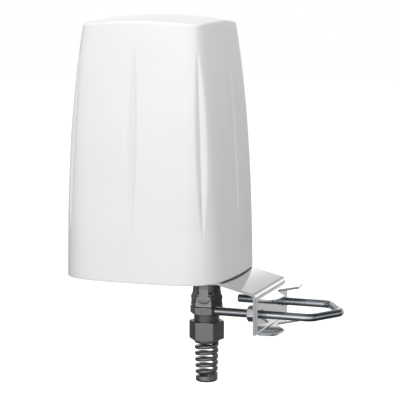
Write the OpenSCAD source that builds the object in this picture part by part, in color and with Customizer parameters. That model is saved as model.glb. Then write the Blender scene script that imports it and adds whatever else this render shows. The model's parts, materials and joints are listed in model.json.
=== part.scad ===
// Pole-mounted omnidirectional router antenna.
// Origin: centre of the pole that the clamp holds, level with the U-bolt.
// +X points from the radome to the pole, +Z up. Millimetres.

/* [Radome] */
// Width across the middle of two opposite sides, at the rim
radome_base_w = 154; // [146:1:166]
// Width across the middle of two opposite sides, at the top edge
radome_top_w = 122.4; // [112:0.2:132]
// Height of the top edge above the rim
radome_h = 231.6; // [200:0.2:260]
// Wall thickness
radome_wall = 3; // [2:0.1:4]
// Radius of the domed top
dome_r = 347; // [250:1:600]
// Depth of the grooves at their middle
groove_depth = 2.8; // [1:0.1:3.4]
// Half width of a side's groove at its middle
groove_half_w = 3.9; // [2:0.1:5]
// Half length of the grooves
groove_half_l = 85; // [50:1:95]
// Height of the middle of the grooves above the rim
groove_mid_z = 127; // [110:1:130]

/* [Base] */
// Thickness of the base plate
base_t = 3.6; // [3:0.1:5]
// Depth of the recess in the radome that holds the base plate and its gasket
recess_h = 5; // [4.6:0.1:7]
// Distance of the corner screws from the radome's axis, along X and along Y
base_screw_xy = 57.5; // [57:0.5:58]

/* [Bracket and jaw] */
// Width of the bracket and of the jaw
bracket_w = 92; // [84:1:100]
// Thickness of the bracket's sheet
bracket_t = 2.5; // [2:0.1:3]
// Thickness of the jaw's sheet
jaw_t = 2; // [1.5:0.1:2.5]
// Distance from the radome's axis to the outer face of the bracket's leg
leg_x = 106.9; // [104:0.1:112]
// Distance from the rim to the bottom of the bracket's leg
leg_drop = 46; // [44:0.5:52]
// Height of the jaw over its two toothed flanges
jaw_h = 33; // [30:0.5:34]
// Distance from the radome's axis to the bottom of the jaw's notch
notch_x = 114; // [112:0.1:116]
// Width of the jaw's notch at its mouth
notch_w = 43.6; // [36:0.2:50]

/* [U-bolt] */
// Diameter of the rod
rod_d = 7.1; // [6.5:0.05:7.1]
// Outer diameter of the rolled thread on the legs
thread_d = 7.9; // [7.2:0.05:8]
// Length of the thread on each leg
thread_l = 50; // [44:1:60]
// Distance between the two legs
leg_pitch = 64.7; // [60:0.1:68]
// Thread pitch
rod_thread = 1.25; // [1:0.05:1.5]
// Width across the flats of the nuts
nut_af = 13; // [12:0.5:14]
// Thickness of the nuts
nut_t = 6.8; // [5:0.1:7]

/* [Cable gland] */
// Distance from the radome's axis to the gland's axis
gland_x = 44.65; // [40:0.05:46]
// Diameter of the adapter's neck and of its entry thread
neck_d = 25; // [24:0.1:26]
// Width across the flats of the gland body's hexagon
flange_af = 27.4; // [26:0.1:28]
// Width across the flats of the dome nut
dome_af = 28.6; // [28:0.1:30]
// Bore of the sealing insert, for the cable
seal_bore = 13.4; // [10:0.2:14]
// How far the dome nut can still be screwed up
nut_travel = 4.5; // [2:0.1:4.6]
// Axial pitch of the bend protection spiral
spiral_pitch = 5.8; // [5:0.1:6.5]

/* [Inner assembly] */
// Height of the ground plane above the rim
ground_z = 26; // [22:1:30]
// Height of the upper tray above the rim
tray_z = 196; // [180:1:198]
// Width of the router's case, along Y
router_w = 84; // [70:1:90]
// Height of the router's case
router_h = 110; // [90:1:120]

/* [Hidden] */
$fn = 64;
eps = 0.01;

// Colours
c_radome = [0.95, 0.95, 0.95];
c_base = [0.88, 0.88, 0.88];
c_black = [0.16, 0.16, 0.17];
c_rubber = [0.08, 0.08, 0.08];
c_sheet = [0.76, 0.78, 0.8];
c_zinc = [0.62, 0.65, 0.68];
c_brass = [0.8, 0.65, 0.35];
c_alu = [0.75, 0.76, 0.78];
c_case = [0.25, 0.27, 0.3];
c_pcb = [0.1, 0.35, 0.18];
c_coax = [0.12, 0.12, 0.13];

// Frame: the pole centre seen from the radome's axis, and the U-bolt below the rim
pole_x = 136;
clamp_drop = 29;
module at_radome() {
  translate([-pole_x, 0, clamp_drop]) children();
}

// ---- Radome outline: a bowed square with round corners, narrowing upwards ----
base_a = radome_base_w / 2;
top_a = radome_top_w / 2;
draft = 6.3;
bow_power = 3;
bow_base = 7.6;
bow_top = 8.1;
corner_base = 36.3;
corner_top = 12.4;
function half_w(t) = base_a - draft * t - (base_a - top_a - draft) * pow(t, bow_power);
function bow(t) = bow_base + (bow_top - bow_base) * t;
function corner_r(t) = corner_base + (corner_top - corner_base) * t;
function side_r(t) = (half_w(t) * half_w(t) + bow(t) * bow(t)) / (2 * bow(t));
function side_c(t) = half_w(t) - side_r(t);
function corner_k(t) =
  let (c = side_c(t), d = side_r(t) - corner_r(t)) (2 * c + sqrt(8 * d * d - 4 * c * c)) / 4;
function tangent_a(t) = atan2(corner_k(t), corner_k(t) - side_c(t));

// Grooves: a parabola along the height, deepest and widest at the middle
groove_land = 0.6;
corner_groove = 1.25;
function groove(z) = max(0, 1 - pow((z - groove_mid_z) / groove_half_l, 2));

// Points of the outline at height share t, from the middle of a side to the corner's diagonal
side_steps = 3;
corner_steps = 4;
function side_point(t, d, a) = [side_c(t) + (side_r(t) - d) * cos(a), (side_r(t) - d) * sin(a)];
function corner_point(t, d, a) = corner_k(t) * [1, 1] + (corner_r(t) - d) * [cos(a), sin(a)];
function eighth(t, d, z) =
  let (
    g = groove(z),
    w = groove_land + groove_half_w * g,
    ta = tangent_a(t),
    sa = asin(w / side_r(t)),
    ca = 45 - corner_groove * w / corner_r(t) * 180 / PI,
    dip = groove_depth * g
  )
  concat(
    [side_point(t, d + dip, 0)],
    [for (i = [0 : side_steps]) side_point(t, d, sa + (ta - sa) * i / side_steps)],
    [for (i = [1 : corner_steps]) corner_point(t, d, ta + (ca - ta) * i / corner_steps)],
    [corner_point(t, d + dip, 45)]
  );
eighth_n = side_steps + corner_steps + 3;
function quarter(e) = concat(e, [for (i = [eighth_n - 2 : -1 : 1]) [e[i][1], e[i][0]]]);
function turned(p, a) = [p[0] * cos(a) - p[1] * sin(a), p[0] * sin(a) + p[1] * cos(a)];
function ring(t, d, z) =
  let (q = quarter(eighth(t, d, z))) [for (k = [0 : 3], p = q) turned(p, 90 * k)];
ring_n = 4 * (2 * eighth_n - 2);

// Height of the dome over a point of the plan
function dome_z(p, d) = radome_h - d - (norm(p) * norm(p) - top_a * top_a) / (2 * dome_r);
// Walls: ring i at height share t; the top edge follows the dome
function wall_ring(t, d, low, high) =
  let (z = low + (high - low) * t, r = ring(z / high, d, z))
  [for (p = r) [p[0], p[1], low + (dome_z(p, d) - low) * t]];
// Dome: the top outline shrunk by share s
function dome_ring(s, d) = [for (p = ring(1, d, radome_h)) [p[0] * s, p[1] * s, dome_z(p * s, d)]];
function flat_ring(d, z) = [for (p = ring(z / radome_h, d, z)) [p[0], p[1], z]];

outer_rings = 18;
inner_rings = 10;
edge_drop = 0.99;
ledge_in = 6.5;
ledge_h = 3;
rim_wall = 2.3;
radome_stack = concat(
  [for (i = [0 : outer_rings]) wall_ring(edge_drop * i / outer_rings, 0, 0, radome_h)],
  [for (s = [0.988, 0.96, 0.8, 0.6, 0.4, 0.2]) dome_ring(s, 0)],
  [for (s = [0.2, 0.4, 0.6, 0.8, 0.96]) dome_ring(s, radome_wall)],
  [for (i = [inner_rings : -1 : 0])
    wall_ring(edge_drop * i / inner_rings, radome_wall, recess_h + ledge_h + 1, radome_h)],
  [flat_ring(ledge_in, recess_h + ledge_h)],
  [flat_ring(ledge_in, recess_h)],
  [flat_ring(rim_wall, recess_h)],
  [flat_ring(rim_wall, 0)]
);
top_ring = outer_rings + 6;

// Skin of the stack of rings; the outer skin and the inner skin close at the apex
module radome_skin() {
  outer_n = top_ring + 1;
  all_n = len(radome_stack);
  points = [for (r = radome_stack, p = r) p];
  apex = len(points);
  faces = concat(
    [for (k = [0 : outer_n - 2], j = [0 : ring_n - 1])
      each quad(k, j)],
    [for (k = [outer_n : all_n - 2], j = [0 : ring_n - 1])
      each quad(k, j)],
    [for (j = [0 : ring_n - 1]) each closing(all_n - 1, j)],
    [for (j = [0 : ring_n - 1]) [(outer_n - 1) * ring_n + j, apex, (outer_n - 1) * ring_n + next(j)]],
    [for (j = [0 : ring_n - 1]) [outer_n * ring_n + j, outer_n * ring_n + next(j), apex + 1]]
  );
  polyhedron(concat(points, [[0, 0, dome_z([0, 0], 0)], [0, 0, dome_z([0, 0], radome_wall)]]), faces);
}
function next(j) = (j + 1) % ring_n;
function quad(k, j) =
  let (a = k * ring_n + j, b = k * ring_n + next(j), c = (k + 1) * ring_n + next(j), d = (k + 1) * ring_n + j)
  [[a, d, c], [a, c, b]];
function closing(k, j) =
  let (a = k * ring_n + j, b = k * ring_n + next(j), c = next(j), d = j)
  [[a, d, c], [a, c, b]];

module outline(d) {
  polygon(ring(0, d, 0));
}

// ---- Fasteners ----
module corners(x, y) {
  for (i = [-1, 1], j = [-1, 1]) translate([i * x, j * y, 0]) children();
}
// Pan head screw: the head rests on z = 0 and the shank points up
module screw_up(d, l, head_d, head_h, drive) {
  difference() {
    union() {
      cylinder(d = d, h = l);
      translate([0, 0, -head_h]) cylinder(d1 = head_d * 0.8, d2 = head_d, h = head_h);
    }
    translate([0, 0, -head_h - eps]) cylinder(d = drive, h = head_h * 0.6, $fn = 6);
  }
}
module screw_down(d, l, head_d, head_h, drive) {
  mirror([0, 0, 1]) screw_up(d, l, head_d, head_h, drive);
}
module hex(af, h) {
  cylinder(d = af / cos(30), h = h, $fn = 6);
}
// Hexagon whose corners are cut back by a cone at both ends, or at one end
module chamfered_hex(af, h, cut) {
  intersection() {
    hex(af, h);
    rotate_extrude() polygon([
      [0, 0], [af / 2 - 0.2, 0], [af / 2 + 1.6 * cut, cut], [af / 2 + 1.6 * cut, h - cut],
      [af / 2 - 0.2, h], [0, h]
    ]);
  }
}
module ring_solid(d_out, d_in, h) {
  difference() {
    cylinder(d = d_out, h = h);
    translate([0, 0, -1]) cylinder(d = d_in, h = h + 2);
  }
}

// ---- Radome and base ----
boss_d = 9.4;
boss_h = 16;
base_screw_d = 4;
base_screw_l = 14;
module radome() {
  color(c_radome) at_radome() difference() {
    union() {
      radome_skin();
      corners(base_screw_xy, base_screw_xy) translate([0, 0, recess_h]) cylinder(d = boss_d, h = boss_h);
    }
    corners(base_screw_xy, base_screw_xy) translate([0, 0, recess_h - 1])
      cylinder(d = base_screw_d + 0.2, h = boss_h - 2);
  }
}

bolt_x = 37.5;
bolt_y = 30;
bolt_mid_x = 22.5;
insert_d = 7;
insert_h = 8;
module at_bolts() {
  translate([bolt_mid_x, 0, 0]) corners(bolt_x, bolt_y) children();
}
standoff_xy = 40;
standoff_screw_d = 3;
module base_plate() {
  color(c_base) at_radome() difference() {
    union() {
      linear_extrude(base_t) outline(rim_wall + 0.3);
      at_bolts() cylinder(d = 12, h = insert_h + 1.5);
      translate([gland_x, 0, 0]) cylinder(d = neck_d + 8, h = base_t + 1.4);
    }
    at_bolts() translate([0, 0, -1]) cylinder(d = insert_d, h = insert_h + 1);
    translate([gland_x, 0, -1]) cylinder(d = neck_d + 0.4, h = base_t + 4);
    corners(base_screw_xy, base_screw_xy) translate([0, 0, -1]) cylinder(d = base_screw_d + 0.4, h = base_t + 2);
    corners(base_screw_xy, base_screw_xy) translate([0, 0, -1]) cylinder(d = 8.4, h = 2.6);
    at_standoffs() translate([0, 0, -1]) cylinder(d = standoff_screw_d + 0.4, h = base_t + 2);
    at_standoffs() translate([0, 0, -1]) cylinder(d = 6.2, h = 2.8);
  }
}
module base_gasket() {
  color(c_rubber) at_radome() translate([0, 0, base_t]) linear_extrude(recess_h - base_t) difference() {
    outline(rim_wall + 0.4);
    outline(ledge_in - 0.3);
  }
}
module base_screws() {
  color(c_zinc) at_radome() corners(base_screw_xy, base_screw_xy) translate([0, 0, 1.6])
    screw_up(base_screw_d, base_screw_l, 8, 1.6, 2.2);
}
module base_inserts() {
  color(c_brass) at_radome() at_bolts() ring_solid(insert_d, bolt_d + 0.1, insert_h);
}

// ---- Bracket and jaw ----
// Outline of a bent sheet of thickness t: a path with round bends, as a polygon
bend_r = 4;
slope_a = 14.3;
flat_end = 71.5;
flat_start = -26;
slope_end = [leg_x - bend_r * (1 - sin(slope_a)), -(leg_x - bend_r * (1 - sin(slope_a)) - flat_end) * tan(slope_a)];
bend_c = slope_end - bend_r * [sin(slope_a), cos(slope_a)];
module bracket_profile() {
  outer = concat(
    [[flat_start, 0], [flat_end, 0]],
    [for (i = [0 : 8]) bend_c + bend_r * [sin(slope_a + (90 - slope_a) * i / 8), cos(slope_a + (90 - slope_a) * i / 8)]],
    [[leg_x, -leg_drop]]
  );
  inner_r = bend_r - bracket_t;
  inner = concat(
    [[leg_x - bracket_t, -leg_drop]],
    [for (i = [8 : -1 : 0])
      bend_c + inner_r * [sin(slope_a + (90 - slope_a) * i / 8), cos(slope_a + (90 - slope_a) * i / 8)]],
    [[flat_end - bracket_t * tan(slope_a / 2), -bracket_t], [flat_start, -bracket_t]]
  );
  polygon(concat(outer, inner));
}
// Carries a profile drawn in X and Z along Y, centred
module along_y(w) {
  rotate([90, 0, 0]) linear_extrude(w, center = true) children();
}
gland_cutout = 40;
rod_hole = thread_d + 1.1;
bolt_d = 5;
module at_legs() {
  for (s = [-1, 1]) translate([0, s * leg_pitch / 2, -clamp_drop]) rotate([0, 90, 0]) children();
}
module bracket() {
  color(c_sheet) at_radome() difference() {
    along_y(bracket_w) bracket_profile();
    translate([gland_x, 0, -bracket_t - 1]) cylinder(d = gland_cutout, h = bracket_t + 2);
    at_bolts() translate([0, 0, -bracket_t - 1]) cylinder(d = bolt_d + 0.5, h = bracket_t + 2);
    translate([leg_x - bracket_t - 1, 0, 0]) at_legs() cylinder(d = rod_hole, h = bracket_t + 2);
    for (s = [-1, 1]) translate([flat_start, s * bracket_w / 2, -bracket_t - 1])
      rotate([0, 0, 45]) cube([14, 14, 4 * bracket_t], center = true);
  }
}
module bracket_bolts() {
  color(c_zinc) at_radome() at_bolts() translate([0, 0, -bracket_t - 1]) screw_up(bolt_d, 10, 9, 2.6, 3.4);
}
module bracket_washers() {
  color(c_zinc) at_radome() at_bolts() translate([0, 0, -bracket_t - 1]) ring_solid(10, bolt_d + 0.4, 1);
}

// Jaw: a channel whose two flanges end in a toothed notch
jaw_out = 18.6;
prong_out = 19.9;
prong_in_y = notch_w / 2;
jaw_bend = 3;
tooth_n = 6;
tooth_h = 1.3;
notch_flat = 3;
tip_r = 8;
tip_steps = 6;
module jaw_profile() {
  depth = prong_out + 1;
  difference() {
    translate([leg_x, -clamp_drop - jaw_h / 2]) rounded_left(depth, jaw_h, jaw_bend);
    translate([leg_x + jaw_t, -clamp_drop - jaw_h / 2 + jaw_t])
      rounded_left(depth, jaw_h - 2 * jaw_t, jaw_bend - jaw_t);
  }
}
// Rectangle from [0, 0] whose two corners on the left are round
module rounded_left(w, h, r) {
  union() {
    translate([r, 0]) square([w - r, h]);
    translate([0, r]) square([w, h - 2 * r]);
    translate([r, r]) circle(r);
    translate([r, h - r]) circle(r);
  }
}
function notch_edge(s) =
  let (from = [notch_x, s * notch_flat], to = [leg_x + prong_out, s * prong_in_y], step = (to - from) / tooth_n,
    out = [-(to - from)[1], (to - from)[0]] * (s / norm(to - from)))
  [for (i = [0 : tooth_n - 1]) each [from + step * i, from + step * (i + 0.5) + tooth_h * out]];
// Round outer corner of a flange, from its end to its front, and the blunt prong next to it
function flange_end(s) = concat(
  [for (i = [0 : tip_steps])
    let (a = 90 * i / tip_steps)
    [leg_x + jaw_out - tip_r * (1 - sin(a)), s * (bracket_w / 2 - tip_r * (1 - cos(a)))]],
  [[leg_x + prong_out, s * (prong_in_y + 2)], [leg_x + prong_out, s * prong_in_y]]
);
function backwards(p) = [for (i = [len(p) - 1 : -1 : 0]) p[i]];
module jaw_plan() {
  half = bracket_w / 2;
  difference() {
    polygon(concat([[leg_x, -half]], flange_end(-1), backwards(flange_end(1)), [[leg_x, half]]));
    for (s = [-1, 1]) polygon(concat(
      notch_edge(s),
      [[leg_x + prong_out, s * prong_in_y], [leg_x + prong_out + 5, s * (prong_in_y + 0.1)],
        [leg_x + prong_out + 5, -s * 0.1], [notch_x, -s * 0.1]]
    ));
  }
}
module clamp_jaw() {
  color(c_sheet) at_radome() difference() {
    intersection() {
      along_y(bracket_w) jaw_profile();
      translate([0, 0, -leg_drop - 5]) linear_extrude(leg_drop) jaw_plan();
    }
    translate([leg_x - 1, 0, 0]) at_legs() cylinder(d = rod_hole, h = jaw_t + 2);
  }
}

// ---- U-bolt: two legs joined by a V with round bends ----
leg_end_x = 64.8;
shoulder_x = 154.2;
vee_x = 173.6;
shoulder_r = 11;
vee_r = 9;
vee_a = atan2(leg_pitch / 2, vee_x - shoulder_x);
shoulder_tan = shoulder_r * tan(vee_a / 2);
vee_tan = vee_r * tan((180 - 2 * vee_a) / 2);
vee_side = norm([vee_x - shoulder_x, leg_pitch / 2]);
lap = 0.02;
// The bends are drawn a little thinner, as cold bending leaves them
bend_d = rod_d - 0.06;
module rod(l) {
  rotate([0, 90, 0]) cylinder(d = rod_d, h = l);
}
module rod_bend(r, a) {
  rotate_extrude(angle = a) translate([r, 0]) circle(d = bend_d);
}
thread_cut = 0.8;
module half_u_bolt() {
  translate([leg_end_x, leg_pitch / 2, 0]) rotate([0, 90, 0]) {
    cylinder(d1 = thread_d - 2 * thread_cut, d2 = thread_d, h = thread_cut);
    translate([0, 0, thread_cut]) cylinder(d = thread_d, h = thread_l - thread_cut);
  }
  translate([leg_end_x + thread_l - lap, leg_pitch / 2, 0])
    rod(shoulder_x - shoulder_tan - leg_end_x - thread_l + 2 * lap);
  translate([shoulder_x - shoulder_tan, leg_pitch / 2 - shoulder_r, 0])
    rotate([0, 0, 90 - vee_a]) rod_bend(shoulder_r, vee_a);
  translate([shoulder_x, leg_pitch / 2, 0]) rotate([0, 0, -vee_a])
    translate([shoulder_tan - lap, 0, 0]) rod(vee_side - shoulder_tan - vee_tan + 2 * lap);
}
module u_bolt() {
  vee_c = vee_x - vee_r / sin(vee_a);
  color(c_zinc) at_radome() translate([0, 0, -clamp_drop]) union() {
    half_u_bolt();
    rotate([180, 0, 0]) half_u_bolt();
    translate([vee_c, 0, 0]) rotate([0, 0, -(90 - vee_a)]) rod_bend(vee_r, 180 - 2 * vee_a);
  }
}
washer_t = 1.6;
washer_d = 16;
nut_turn = -18;
module m8_nut(s) {
  color(c_zinc) at_radome() translate([leg_x - bracket_t - washer_t - nut_t, s * leg_pitch / 2, -clamp_drop])
    rotate([0, 90, 0]) rotate([0, 0, nut_turn]) difference() {
      chamfered_hex(nut_af, nut_t, 0.8);
      translate([0, 0, -1]) cylinder(d = thread_d + 0.1, h = nut_t + 2);
    }
}
module u_bolt_washers() {
  color(c_zinc) at_radome() translate([leg_x - bracket_t - washer_t, 0, 0]) at_legs()
    ring_solid(washer_d, rod_hole, washer_t);
}
module u_bolt_nut_front() {
  m8_nut(-1);
}
module u_bolt_nut_rear() {
  m8_nut(1);
}

// ---- Cable gland, hanging from the base plate ----
flange_turn = 6;
dome_turn = 10;
neck_low = -19.5;
foot_low = -27;
flange_top = -31.2;
flange_low = -38.4;
dome_top = -45.2;
dome_h = 17.4;
module at_gland() {
  at_radome() translate([gland_x, 0, 0]) children();
}
entry_top = 16;
wall_bore = 17;
adapter_low = flange_top + 1.9;
lip_low = -3;
lip_r = neck_d / 2 + 2.4;
grip_r = neck_d / 2 + 1.7;
ledge_r = flange_af / 2 + 0.8;
module adapter_profile() {
  polygon([
    [wall_bore / 2, entry_top], [neck_d / 2 - 1, entry_top], [neck_d / 2, entry_top - 1], [neck_d / 2, -0.4],
    [lip_r, -0.4], [lip_r, lip_low], [neck_d / 2, lip_low], [neck_d / 2, neck_low],
    [grip_r - 0.4, neck_low - 4], [grip_r, foot_low + 3], [grip_r, foot_low], [grip_r - 0.9, foot_low - 0.6],
    [ledge_r, foot_low - 1.4], [ledge_r, adapter_low], [wall_bore / 2, adapter_low]
  ]);
}
// Six slots with a round end part the grip tongues
slot_w = 4.4;
slot_low = -20;
slot_in = neck_d / 2 - 1.6;
module slot_cutter() {
  translate([slot_in, -slot_w / 2, slot_low]) cube([10, slot_w, lip_low - slot_low]);
  translate([slot_in, 0, slot_low]) rotate([0, 90, 0]) cylinder(d = slot_w, h = 10);
}
module gland_adapter() {
  color(c_black) at_gland() difference() {
    rotate([0, 0, flange_turn + 20]) rotate_extrude() adapter_profile();
    for (i = [0 : 5]) rotate([0, 0, flange_turn + 60 * i]) slot_cutter();
  }
}
module adapter_seal() {
  color(c_rubber) at_gland() translate([0, 0, -0.4]) ring_solid(neck_d + 4.6, neck_d, 0.4);
}
module adapter_locknut() {
  color(c_black) at_gland() translate([0, 0, base_t + 1.4]) difference() {
    chamfered_hex(32, 5.6, 0.8);
    translate([0, 0, -1]) cylinder(d = neck_d + 0.1, h = 8);
  }
}
lamella_low = -54;
module gland_body() {
  color(c_black) at_gland() difference() {
    union() {
      translate([0, 0, flange_low]) rotate([0, 0, flange_turn]) intersection() {
        hex(flange_af, flange_top + 0.5 - flange_low);
        rotate_extrude() polygon([
          [0, 0], [flange_af / 2 + 0.2, 0], [flange_af / 2 + 2.3, 1], [flange_af / 2 + 2.3, 7],
          [flange_af / 2 + 0.6, 7.7], [0, 7.7]
        ]);
      }
      translate([0, 0, lamella_low + 5]) cylinder(d = 24, h = flange_low - lamella_low - 5 + eps);
      translate([0, 0, lamella_low]) ring_solid(21.4, 17.6, 5 + eps);
    }
    translate([0, 0, lamella_low - 1]) cylinder(d = wall_bore, h = 30);
    translate([0, 0, lamella_low - 1]) cylinder(d = 19.2, h = 12);
    for (i = [0 : 7]) translate([0, 0, lamella_low - 1]) rotate([0, 0, 45 * i])
      translate([6, -0.8, 0]) cube([8, 1.6, 5.4]);
  }
}
module gland_o_ring() {
  color(c_rubber) at_gland() translate([0, 0, flange_top + 0.5]) ring_solid(25.4, 20, 1.4);
}
module gland_seal() {
  color(c_rubber) at_gland() translate([0, 0, lamella_low + 0.6]) difference() {
    union() {
      translate([0, 0, 1]) cylinder(d = 19, h = 9.2);
      cylinder(d1 = 17, d2 = 19, h = 1);
    }
    translate([0, 0, -1]) cylinder(d = seal_bore, h = 13);
  }
}
slip_low = -61;
module slip_ring() {
  color(c_black) at_gland() translate([0, 0, slip_low]) ring_solid(21.4, 16, 1.6);
}
dome_cut = 0.4;
module dome_nut() {
  color(c_black) at_gland() translate([0, 0, dome_top - dome_h]) difference() {
    rotate([0, 0, dome_turn]) chamfered_hex(dome_af, dome_h, dome_cut);
    translate([0, 0, 1.3]) cylinder(d = 21.8, h = dome_h);
    translate([0, 0, dome_h - 11.6]) cylinder(d = 24.2, h = dome_h);
    translate([0, 0, -1]) cylinder(d = 18.6, h = dome_h);
  }
}
// Bend protection: a collar under the dome nut, an open spiral and an end ring
collar_h = 3.4;
collar_d = 23.2;
spiral_top = dome_top - dome_h - collar_h;
spiral_low = -98;
end_ring_h = 4.6;
spiral_bore = 13.8;
spiral_r_top = 11.35;
spiral_r_low = 10.3;
ribbon_h = 3.1;
spiral_steps = 22;
spiral_start = 180;
function spiral_r(z) = spiral_r_low + (spiral_r_top - spiral_r_low) * (z - spiral_low) / (spiral_top - spiral_low);
// Section of the ribbon at height z: an octagon from the bore to the spiral's outer radius
function ribbon_section(z) =
  let (w = spiral_r(z) - spiral_bore / 2, mid = spiral_r(z) - w / 2)
  [for (a = [22.5 : 45 : 360]) [mid + w / 2 * cos(a) / cos(22.5), ribbon_h / 2 * sin(a) / cos(22.5)]];
module spiral_ribbon() {
  n = 8;
  z_from = spiral_low - ribbon_h / 2 - 0.4;
  z_to = spiral_top + ribbon_h / 2 + 0.4;
  turns = (z_to - z_from) / spiral_pitch;
  steps = ceil(turns * spiral_steps);
  points = [for (i = [0 : steps])
    let (s = i / steps, z = z_from + (z_to - z_from) * s, a = 360 * turns * s + spiral_start)
    for (p = ribbon_section(z)) [p[0] * cos(a), p[0] * sin(a), z + p[1]]];
  sides = [for (i = [0 : steps - 1], j = [0 : n - 1])
    let (a = i * n + j, b = i * n + (j + 1) % n) each [[a, b, b + n], [a, b + n, a + n]]];
  polyhedron(points, concat(
    [[for (j = [n - 1 : -1 : 0]) j]],
    sides,
    [[for (j = [0 : n - 1]) steps * n + j]]
  ));
}
module bend_spiral() {
  color(c_black) at_gland() union() {
    translate([0, 0, spiral_top]) ring_solid(collar_d, spiral_bore - 0.1, collar_h);
    translate([0, 0, spiral_low - end_ring_h]) ring_solid(2 * spiral_r_low + 0.2, spiral_bore - 0.1, end_ring_h);
    spiral_ribbon();
  }
}

// ---- Inner assembly ----
module at_standoffs() {
  translate([-20, 0, 0]) corners(standoff_xy - 6, standoff_xy) children();
}
standoff_h = ground_z - base_t;
plate_t = 2;
module standoffs() {
  color(c_brass) at_radome() at_standoffs() translate([0, 0, base_t]) difference() {
    hex(6, standoff_h);
    translate([0, 0, -1]) cylinder(d = standoff_screw_d + 0.1, h = standoff_h + 2);
  }
}
module standoff_screws() {
  color(c_zinc) at_radome() at_standoffs() translate([0, 0, 1.8]) screw_up(standoff_screw_d, 9, 5.8, 1.7, 2);
}
module ground_plane() {
  color(c_alu) at_radome() translate([0, 0, ground_z]) difference() {
    linear_extrude(plate_t) outline(18);
    translate([gland_x, 0, -1]) cylinder(d = 30, h = plate_t + 2);
    at_standoffs() translate([0, 0, -1]) cylinder(d = standoff_screw_d + 0.4, h = plate_t + 2);
    at_pillars() translate([0, 0, -1]) cylinder(d = standoff_screw_d + 0.4, h = plate_t + 2);
    for (s = [-1, 1]) translate([router_x, s * (router_w / 2 - 12), -1])
      cylinder(d = standoff_screw_d + 0.4, h = plate_t + 2);
  }
}
module ground_screws() {
  color(c_zinc) at_radome() at_standoffs() translate([0, 0, ground_z + plate_t])
    screw_down(standoff_screw_d, 8, 5.8, 1.7, 2);
}
module at_pillars() {
  corners(46, 32) children();
}
pillar_h = tray_z - ground_z - plate_t;
module tray_pillars() {
  color(c_brass) at_radome() at_pillars() translate([0, 0, ground_z + plate_t]) difference() {
    hex(6, pillar_h);
    translate([0, 0, -1]) cylinder(d = standoff_screw_d + 0.1, h = 12);
    translate([0, 0, pillar_h - 11]) cylinder(d = standoff_screw_d + 0.1, h = 12);
  }
}
module pillar_screws() {
  color(c_zinc) at_radome() at_pillars() translate([0, 0, ground_z]) screw_up(standoff_screw_d, 9, 5.8, 1.7, 2);
}
tray_t = 2.5;
module upper_tray() {
  color(c_base) at_radome() translate([0, 0, tray_z]) difference() {
    union() {
      linear_extrude(tray_t) outline(28);
      difference() {
        translate([-17, -17, 0]) cube([34, 34, 6]);
        translate([-14.6, -14.6, tray_t]) cube([29.2, 29.2, 6]);
      }
    }
    at_pillars() translate([0, 0, -1]) cylinder(d = standoff_screw_d + 0.4, h = tray_t + 2);
    translate([24, 0, -1]) cylinder(d = 8, h = tray_t + 2);
  }
}
module tray_screws() {
  color(c_zinc) at_radome() at_pillars() translate([0, 0, tray_z + tray_t])
    screw_down(standoff_screw_d, 8, 5.8, 1.7, 2);
}

// Router, standing on the ground plane behind the axis
router_x = -16;
router_d = 26;
case_t = 2;
router_low = ground_z + plate_t;
split_x = router_x + router_d / 2 - case_t;
case_inset = 4.4;
board_x = router_x - router_d / 2 + 8;
board_sheet = 1.6;
// Network jack: it stands on the board and reaches through the case's floor
jack_x = board_x + board_sheet;
jack_d = 13;
jack_w = 16;
rf_y = [-29, -14.5, 0, 14.5, 29];
module at_router_top() {
  for (y = rf_y) translate([router_x, y, router_low + router_h]) children();
}
module router_corners() {
  for (i = [-1, 1], j = [0, 1])
    translate([0, i * (router_w / 2 - case_inset), router_low + case_inset + j * (router_h - 2 * case_inset)])
      rotate([0, 90, 0]) children();
}
module router_case() {
  color(c_case) at_radome() difference() {
    union() {
      difference() {
        translate([router_x - router_d / 2, -router_w / 2, router_low]) cube([router_d - case_t, router_w, router_h]);
        translate([router_x - router_d / 2 + case_t, -router_w / 2 + case_t, router_low + case_t])
          cube([router_d, router_w - 2 * case_t, router_h - 2 * case_t]);
      }
      translate([router_x - router_d / 2 + eps, 0, 0]) router_corners() cylinder(d = 6, h = router_d - case_t - eps);
    }
    at_router_top() translate([0, 0, -case_t - 1]) cylinder(d = 6.4, h = case_t + 2);
    translate([split_x - 10, 0, 0]) router_corners() cylinder(d = 2.6, h = 20);
    for (s = [-1, 1]) translate([router_x, s * (router_w / 2 - 12), router_low - 1])
      cylinder(d = 3.1, h = case_t + 2);
    translate([jack_x - 0.2, -jack_w / 2 - 0.2, router_low - 1]) cube([jack_d + 0.4, jack_w + 0.4, case_t + 2]);
  }
}
module router_cover() {
  color(c_case) at_radome() difference() {
    translate([split_x, -router_w / 2, router_low]) cube([case_t, router_w, router_h]);
    translate([split_x - 1, 0, 0]) router_corners() cylinder(d = 2.9, h = case_t + 2);
  }
}
module router_cover_screws() {
  color(c_zinc) at_radome() translate([split_x + case_t, 0, 0]) router_corners() screw_down(2.5, 10, 4.6, 1.4, 1.6);
}
module router_mount_screws() {
  color(c_zinc) at_radome() for (s = [-1, 1]) translate([router_x, s * (router_w / 2 - 12), ground_z])
    screw_up(3, 6, 5.8, 1.7, 2);
}
module router_board() {
  color(c_pcb) at_radome() union() {
    translate([board_x, -router_w / 2 + 9, router_low + 6]) cube([board_sheet, router_w - 18, router_h - 16]);
    translate([jack_x, -14, router_low + 48]) cube([1.4, 28, 28]);
    translate([jack_x, 18, router_low + 20]) cube([3.2, 12, 30]);
    translate([jack_x, -28, router_low + 22]) cube([2, 10, 16]);
  }
}
module ethernet_jack() {
  color(c_zinc) at_radome() difference() {
    translate([jack_x, -jack_w / 2, router_low]) cube([jack_d, jack_w, 16]);
    translate([jack_x + 1.6, -jack_w / 2 + 1.8, router_low - 1]) cube([jack_d - 3.4, jack_w - 3.6, 12]);
  }
}
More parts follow.
